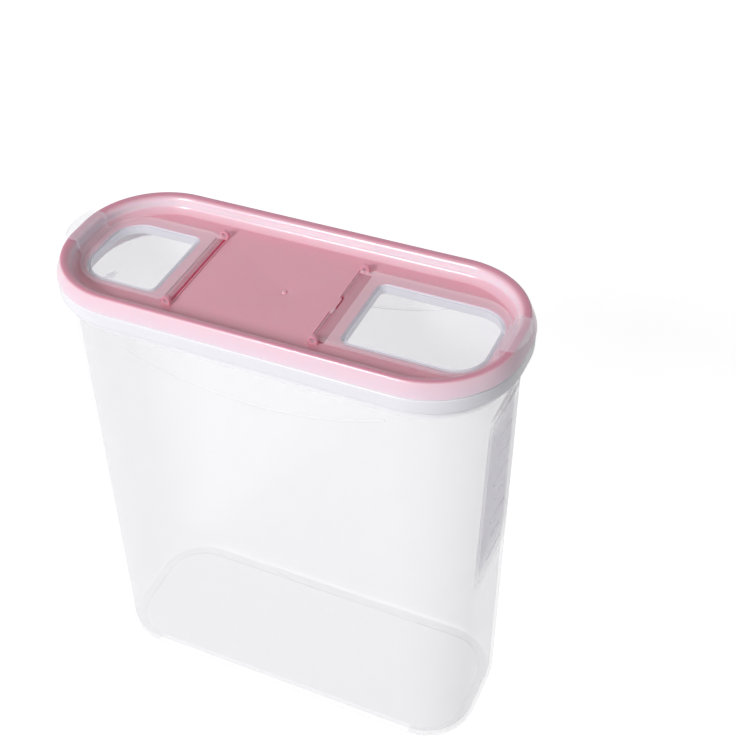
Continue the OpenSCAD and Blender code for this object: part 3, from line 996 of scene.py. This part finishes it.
# Painted shade: the sunken floors of the troughs, in the middle of the lid, are marked for a deep crimson.
trough_shade_mask = times(
    lid_painted_light_group, mapped(lid_painted_light_group, axes.outputs["Z"], panel - 0.4 * MM, panel - 0.7 * MM),
    mapped(lid_painted_light_group, axes.outputs["Z"], panel_under + 0.2 * MM, panel_under + 0.6 * MM),
)
trough_shade_mask = times(lid_painted_light_group, trough_shade_mask, middle_mask)
use_flat = lid_painted_light_group.nodes.new("ShaderNodeMath")
use_flat.operation = "MAXIMUM"
link(lid_painted_light_group, up, use_flat.inputs[0])
link(lid_painted_light_group, middle_mask, use_flat.inputs[1])
blend = lid_painted_light_group.nodes.new("ShaderNodeMix")
blend.data_type = "RGBA"
link(lid_painted_light_group, use_flat.outputs[0], blend.inputs["Factor"])
link(lid_painted_light_group, tilt_painted_light.outputs["Color"], blend.inputs[6])
link(lid_painted_light_group, flats_with_painted_shade.outputs["Color"], blend.inputs[7])
# The troughs' painted shade, a deep crimson, goes over the blend.
trough_painted_shade = lid_painted_light_group.nodes.new("ShaderNodeMix")
trough_painted_shade.data_type = "RGBA"
trough_painted_shade.inputs[7].default_value = linear(188, 22, 84)
link(lid_painted_light_group, trough_shade_mask, trough_painted_shade.inputs["Factor"])
link(lid_painted_light_group, blend.outputs[2], trough_painted_shade.inputs[6])
link(lid_painted_light_group, trough_painted_shade.outputs[2], gout.inputs["Color"])
print("group", lid_painted_light_group.name, "has", len(lid_painted_light_group.nodes), "nodes")

# %% The lid's pink
lid_pink, tree, shader = plastic("lid_pink_plastic", 420, 0.3, 0.06, 0.04, 0.0002)
# The base colour comes from the group, with its painted light and shade.
depth = tree.nodes.new("ShaderNodeGroup")
depth.node_tree = lid_painted_light_group
link(tree, depth.outputs["Color"], shader.inputs["Base Color"])
shader.inputs["Subsurface Weight"].default_value = 0.4
shader.inputs["Subsurface Radius"].default_value = (1.0, 0.25, 0.35)
shader.inputs["Subsurface Scale"].default_value = 0.006
shader.inputs["Coat Weight"].default_value = 0.3
shader.inputs["Coat Roughness"].default_value = 0.1
print("lid material:", lid_pink.name)

# %% [markdown]
# The container is thin and lets most of the white behind it through. The neck,
# with the collar and its lip, has more layers of plastic and looks whiter, as
# do the raised bars. The grip with the scale is frosted more densely and is
# painted a lavender grey, a painted shade of the recess. Faces that look up,
# such as the top side of the curved line, get painted light: they are whiter
# and more solid. Masks find these places by height, by the way the surface
# faces and, for the bars, by how far it stands out from the grip. The caps are
# clearest of all, and only the plug under each plate is milky.


# %% Helper: a clear plastic's alpha
def cover_by(tree, shader, alpha):
    """Set how solid a clear plastic looks; its shadow is lighter, as it passes light on."""
    path = tree.nodes.new("ShaderNodeLightPath")
    less = tree.nodes.new("ShaderNodeMapRange")
    less.inputs["To Min"].default_value = 1
    less.inputs["To Max"].default_value = 0.6
    link(tree, path.outputs["Is Shadow Ray"], less.inputs["Value"])
    link(tree, times(tree, alpha, less.outputs["Result"]), shader.inputs["Alpha"])


# %% Node group: how densely the container is frosted, with its painted shade and light
frost_and_light_group, gin, gout = new_group(
    "frosting_and_painted_light",
    [("Wall", "NodeSocketFloat", 0.15), ("Neck", "NodeSocketFloat", 0.8),
     ("Grip", "NodeSocketFloat", 0.5), ("Raised or lit", "NodeSocketFloat", 0.6)],
    [("Color", "NodeSocketColor"), ("Alpha", "NodeSocketFloat")],
)
coords = frost_and_light_group.nodes.new("ShaderNodeTexCoord")
axes = frost_and_light_group.nodes.new("ShaderNodeSeparateXYZ")
facing = frost_and_light_group.nodes.new("ShaderNodeSeparateXYZ")
link(frost_and_light_group, coords.outputs["Object"], axes.inputs["Vector"])
link(frost_and_light_group, coords.outputs["Normal"], facing.inputs["Vector"])
neck_mask = mapped(frost_and_light_group, axes.outputs["Z"], plug_foot - 3 * MM, plug_foot)
grip_mask = mapped(frost_and_light_group, facing.outputs["X"], 0.97, 0.99)
scale_low = scale_top - 7.4 * scale_step / 2
scale_high = scale_top - 5.4 * scale_step / 2
for source, low, high in (
    (axes.outputs["X"], 0, END_ZONE), (axes.outputs["Z"], scale_low, scale_high),
    (axes.outputs["Z"], grip_top, grip_top - 16 * MM),
):
    grip_mask = times(frost_and_light_group, grip_mask, mapped(frost_and_light_group, source, low, high))
above_grip = frost_and_light_group.nodes.new("ShaderNodeVectorMath")
above_grip.operation = "DOT_PRODUCT"
above_grip.inputs[1].default_value = (1, 0, -(end_x(neck) - end_x(0)) / neck)
link(frost_and_light_group, coords.outputs["Object"], above_grip.inputs[0])
grip_face = end_x(0) - grip_depth
stands = mapped(frost_and_light_group, above_grip.outputs["Value"],
                grip_face + bar_out * 0.3, grip_face + bar_out * 0.6)
bars_mask = times(frost_and_light_group, grip_mask, stands)
# Painted light: faces that look up, above the foot of the grip, such as the top side of the curved line,
# are made whiter and more solid as if lit from above.
faces_up_light_mask = times(frost_and_light_group, mapped(frost_and_light_group, facing.outputs["Z"], 0.2, 0.5),
                    mapped(frost_and_light_group, axes.outputs["Z"], grip_foot - 5 * MM, grip_foot))
faint = frost_and_light_group.nodes.new("ShaderNodeMath")
faint.operation = "MULTIPLY"
faint.inputs[1].default_value = 0.5
link(frost_and_light_group, faces_up_light_mask, faint.inputs[0])
raised_or_lit_mask = frost_and_light_group.nodes.new("ShaderNodeMath")
raised_or_lit_mask.operation = "MAXIMUM"
link(frost_and_light_group, bars_mask, raised_or_lit_mask.inputs[0])
link(frost_and_light_group, faint.outputs[0], raised_or_lit_mask.inputs[1])
# Painted shade: the grip recess is painted a darker lavender grey; the rest, and the raised or lit places,
# stay near white.
grip_shade_tint = frost_and_light_group.nodes.new("ShaderNodeMix")
grip_shade_tint.data_type = "RGBA"
grip_shade_tint.inputs[6].default_value = linear(204, 199, 218)
grip_shade_tint.inputs[7].default_value = linear(247, 246, 252)
plain = frost_and_light_group.nodes.new("ShaderNodeMath")
plain.operation = "SUBTRACT"
plain.use_clamp = True
plain.inputs[0].default_value = 1
link(frost_and_light_group, grip_mask, plain.inputs[1])
whiter = frost_and_light_group.nodes.new("ShaderNodeMath")
whiter.operation = "MAXIMUM"
link(frost_and_light_group, plain.outputs[0], whiter.inputs[0])
link(frost_and_light_group, raised_or_lit_mask.outputs[0], whiter.inputs[1])
link(frost_and_light_group, whiter.outputs[0], grip_shade_tint.inputs["Factor"])
link(frost_and_light_group, grip_shade_tint.outputs[2], gout.inputs["Color"])
cover = between(frost_and_light_group, grip_mask, gin.outputs["Wall"], gin.outputs["Grip"])
cover = between(frost_and_light_group, raised_or_lit_mask.outputs[0], cover, gin.outputs["Raised or lit"])
cover = between(frost_and_light_group, neck_mask, cover, gin.outputs["Neck"])
link(frost_and_light_group, cover, gout.inputs["Alpha"])
print("group", frost_and_light_group.name, "has", len(frost_and_light_group.nodes), "nodes")

# %% The frosted container
frosted, tree, shader = plastic("container_frosted_plastic", 260, 0.3, 0.08, 0.05, 0.0003)
frosting_and_painted_light = tree.nodes.new("ShaderNodeGroup")
frosting_and_painted_light.node_tree = frost_and_light_group
frosting_and_painted_light.inputs["Wall"].default_value = 0.19
frosting_and_painted_light.inputs["Neck"].default_value = 0.75
frosting_and_painted_light.inputs["Grip"].default_value = 0.5
frosting_and_painted_light.inputs["Raised or lit"].default_value = 0.7
# The base colour carries the painted shade of the grip and the painted light on faces that look up.
link(tree, frosting_and_painted_light.outputs["Color"], shader.inputs["Base Color"])
cover_by(tree, shader, frosting_and_painted_light.outputs["Alpha"])
shader.inputs["IOR"].default_value = 1.49
print("container material:", frosted.name)

# %% Node group: the milky plug of a cap
milk_group, gin, gout = new_group(
    "milky_plug", [("Plate", "NodeSocketFloat", 0.1), ("Plug", "NodeSocketFloat", 0.6)],
    [("Alpha", "NodeSocketFloat")],
)
coords = milk_group.nodes.new("ShaderNodeTexCoord")
axes = milk_group.nodes.new("ShaderNodeSeparateXYZ")
link(milk_group, coords.outputs["Object"], axes.inputs["Vector"])
under = mapped(milk_group, axes.outputs["Z"], cap_foot - 0.1 * MM, cap_foot - 0.5 * MM)
link(milk_group, between(milk_group, under, gin.outputs["Plate"], gin.outputs["Plug"]),
     gout.inputs["Alpha"])
print("group", milk_group.name, "has", len(milk_group.nodes), "nodes")

# %% The clear caps, whiter where the eye looks along the plastic
clear, tree, shader = plastic("cap_clear_plastic", 500, 0.2, 0.04, 0.03, 0.0002)
shader.inputs["Base Color"].default_value = linear(246, 246, 254)
shader.inputs["IOR"].default_value = 1.49
milk = tree.nodes.new("ShaderNodeGroup")
milk.node_tree = milk_group
milk.inputs["Plate"].default_value = 0.1
milk.inputs["Plug"].default_value = 0.88
edge = tree.nodes.new("ShaderNodeLayerWeight")
edge.inputs["Blend"].default_value = 0.15
cover = tree.nodes.new("ShaderNodeMapRange")
cover.inputs["To Max"].default_value = 0.75
link(tree, edge.outputs["Facing"], cover.inputs["Value"])
link(tree, milk.outputs["Alpha"], cover.inputs["To Min"])
cover_by(tree, shader, cover.outputs["Result"])
print("cap material:", clear.name)

# %% The silicone seal
silicone, tree, shader = plastic("seal_white_silicone", 700, 0.5, 0.08, 0.06, 0.0003)
shader.inputs["Base Color"].default_value = linear(240, 240, 242)
shader.inputs["Subsurface Weight"].default_value = 0.2
shader.inputs["Subsurface Scale"].default_value = 0.002
print("seal material:", silicone.name)

# %% Dress the pieces and seat them on their bodies
outfits = [
    (container, "container", "container", frosted, "container_plastic"),
    (lid, "lid", "lid", lid_pink, "lid_plastic"),
    (seal, "lid_gasket", "lid", silicone, "gasket_silicone"),
    (large_cap, "large_cap", "large_cap", clear, "cap_plastic"),
    (small_cap, "small_cap", "small_cap", clear, "cap_plastic"),
]
for piece, node, body, material, slot_name in outfits:
    piece.data.materials.clear()
    piece.data.materials.append(material)
    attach(piece, body)
    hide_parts(node)
print("dressed", len(outfits), "pieces")

# %% [markdown]
# ## Floor, light and camera
#
# The picture is a catalogue shot on white. The floor is a wide grey sheet with
# a glow that makes it white to the camera but leaves it a faint shadow, and
# the world is white to the camera, to reflections and to light that passes
# through the plastic. Two broad lamps give the shape.

# %% Floor
floor_bm = bmesh.new()
bmesh.ops.create_grid(floor_bm, x_segments=1, y_segments=1, size=6)
floor = make_piece("floor", floor_bm)
floor_paint = bpy.data.materials.new("floor_white")
floor_paint.use_nodes = True
tree = floor_paint.node_tree
shader = tree.nodes["Principled BSDF"]
shader.inputs["Base Color"].default_value = (0.5, 0.5, 0.5, 1)
shader.inputs["Roughness"].default_value = 0.9
shader.inputs["Specular IOR Level"].default_value = 0.1


def seen_rays(tree):
    """1 for rays that look: from the camera, off a gloss or through clear plastic."""
    path = tree.nodes.new("ShaderNodeLightPath")
    total = path.outputs["Is Camera Ray"]
    for label in ("Is Glossy Ray", "Is Transmission Ray"):
        add = tree.nodes.new("ShaderNodeMath")
        add.operation = "MAXIMUM"
        link(tree, total, add.inputs[0])
        link(tree, path.outputs[label], add.inputs[1])
        total = add.outputs[0]
    return total


glow = tree.nodes.new("ShaderNodeMath")
glow.operation = "MULTIPLY"
glow.inputs[1].default_value = 0.79
link(tree, seen_rays(tree), glow.inputs[0])
shader.inputs["Emission Color"].default_value = (1, 1, 1, 1)
link(tree, glow.outputs[0], shader.inputs["Emission Strength"])
floor.data.materials.append(floor_paint)
floor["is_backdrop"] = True
print("floor at", floor.location.z)

# %% World
WORLD_LIGHT = 0.3
world = bpy.data.worlds.new("studio")
bpy.context.scene.world = world
world.use_nodes = True
tree = world.node_tree
background = tree.nodes["Background"]
background.inputs["Color"].default_value = (1, 1, 1, 1)
strength = tree.nodes.new("ShaderNodeMapRange")
strength.inputs["To Min"].default_value = WORLD_LIGHT
strength.inputs["To Max"].default_value = 1.0
link(tree, seen_rays(tree), strength.inputs["Value"])
link(tree, strength.outputs["Result"], background.inputs["Strength"])
print("world strength for light and for the eye:", WORLD_LIGHT, 1.0)


# %% Lamps
def lamp(name, place, target, size, power):
    data = bpy.data.lights.new(name, "AREA")
    data.shape = "SQUARE"
    data.size = size
    data.energy = power
    light = bpy.data.objects.new(name, data)
    bpy.context.scene.collection.objects.link(light)
    light.location = place
    aim = Vector(target) - Vector(place)
    light.rotation_euler = aim.to_track_quat("-Z", "Y").to_euler()


middle = (0, 0, 0.2)
lamp("key_lamp", (-0.6, -1.8, 1.4), middle, 0.6, 37)
lamp("side_lamp", (1.9, -0.3, 0.6), middle, 1.0, 1.5)

# %% [markdown]
# ### The camera
#
# The camera stands where the photograph was taken from: in front, towards the
# large cap's end and well above, close by, with a slight roll. The object is
# off the middle of that picture, so the lens is shifted rather than turned.

# %% Camera
AZIMUTH = math.radians(28.18)
ELEVATION = math.radians(44.30)
ROLL = math.radians(3.42)
DISTANCE = 708.31 * MM
TARGET_Z = 143.78 * MM
FOCAL_PIXELS = 1299.5
CENTRE_PIXEL = (298.49, 469.49)
IMAGE = 736

back = Vector((math.sin(AZIMUTH) * math.cos(ELEVATION), -math.cos(AZIMUTH) * math.cos(ELEVATION),
               math.sin(ELEVATION)))
right = (-back).cross(Vector((0, 0, 1))).normalized()
down = (-back).cross(right)
across = right * math.cos(ROLL) + down * math.sin(ROLL)
up = right * math.sin(ROLL) - down * math.cos(ROLL)
camera_data = bpy.data.cameras.new("camera")
camera_data.sensor_width = 36
camera_data.lens = FOCAL_PIXELS / IMAGE * camera_data.sensor_width
camera_data.shift_x = (IMAGE / 2 - CENTRE_PIXEL[0]) / IMAGE
camera_data.shift_y = (CENTRE_PIXEL[1] - IMAGE / 2) / IMAGE
camera_data.clip_start = 0.01
camera = bpy.data.objects.new("camera", camera_data)
bpy.context.scene.collection.objects.link(camera)
place = Vector((0, 0, TARGET_Z)) + back * DISTANCE
camera.matrix_world = Matrix.Translation(place) @ Matrix((across, up, back)).transposed().to_4x4()
bpy.context.scene.camera = camera
bpy.context.scene.view_settings.view_transform = "Standard"
print("camera at", [round(c, 3) for c in place], "lens", round(camera_data.lens, 2))

# %% Size of the dressed object
low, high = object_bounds()
print("visual box in mm:", [round(c / MM, 2) for c in low], [round(c / MM, 2) for c in high])
